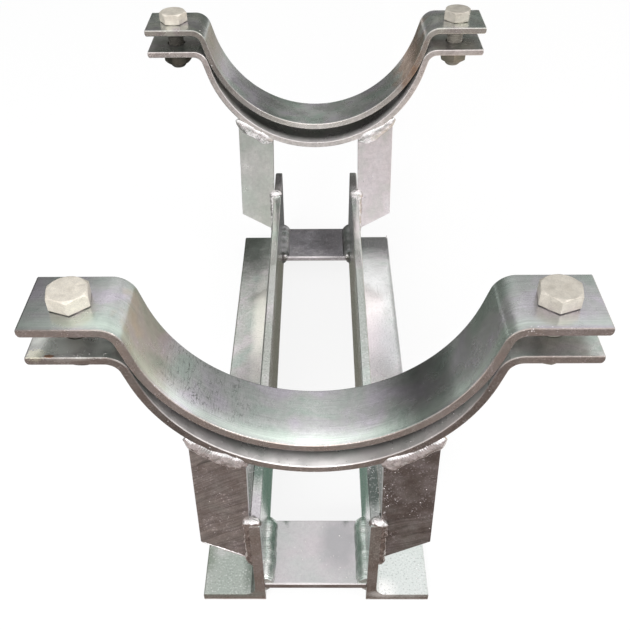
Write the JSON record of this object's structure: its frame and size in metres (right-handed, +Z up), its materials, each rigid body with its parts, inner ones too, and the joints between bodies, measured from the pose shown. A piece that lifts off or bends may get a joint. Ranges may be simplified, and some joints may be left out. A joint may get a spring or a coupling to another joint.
{
  "type": "pipe slide",
  "caption": "Sliding pipe support: two welded steel angles as a base, uprights, and two bent strap saddles with bolted cap straps stowed in them.",
  "frame": {"origin": "on the floor under the middle of the base, between the two angles", "axes": "+X across the pipe, +Y along the pipe, +Z up"},
  "size_m": [0.336, 0.5, 0.2973],
  "materials": {
    "strap_zinc": "satin",
    "base_zinc": "satin",
    "weld_zinc": "gloss",
    "fastener_zinc": "satin"
  },
  "bodies": {
    "root": {"angle_left": "base_zinc", "angle_right": "base_zinc", "bolt_front_left": "fastener_zinc", "bolt_front_right": "fastener_zinc", "bolt_rear_left": "fastener_zinc", "bolt_rear_right": "fastener_zinc", "cap_strap_front": "strap_zinc", "cap_strap_rear": "strap_zinc", "cross_plate_front": "base_zinc", "cross_plate_rear": "base_zinc", "cross_weld_over_front_left": "weld_zinc", "cross_weld_over_front_right": "weld_zinc", "cross_weld_over_rear_left": "weld_zinc", "cross_weld_over_rear_right": "weld_zinc", "cross_weld_under_front_left": "weld_zinc", "cross_weld_under_front_right": "weld_zinc", "cross_weld_under_rear_left": "weld_zinc", "cross_weld_under_rear_right": "weld_zinc", "leg_weld_back_front_left": "weld_zinc", "leg_weld_back_front_right": "weld_zinc", "leg_weld_back_rear_left": "weld_zinc", "leg_weld_back_rear_right": "weld_zinc", "leg_weld_front_front_left": "weld_zinc", "leg_weld_front_front_right": "weld_zinc", "leg_weld_front_rear_left": "weld_zinc", "leg_weld_front_rear_right": "weld_zinc", "nut_front_left": "fastener_zinc", "nut_front_right": "fastener_zinc", "nut_rear_left": "fastener_zinc", "nut_rear_right": "fastener_zinc", "saddle_strap_front": "strap_zinc", "saddle_strap_rear": "strap_zinc", "strap_weld_back_front_left": "weld_zinc", "strap_weld_back_front_right": "weld_zinc", "strap_weld_back_rear_left": "weld_zinc", "strap_weld_back_rear_right": "weld_zinc", "strap_weld_front_front_left": "weld_zinc", "strap_weld_front_front_right": "weld_zinc", "strap_weld_front_rear_left": "weld_zinc", "strap_weld_front_rear_right": "weld_zinc", "upright_front_left": "base_zinc", "upright_front_right": "base_zinc", "upright_rear_left": "base_zinc", "upright_rear_right": "base_zinc"}
  },
  "joints": []
}
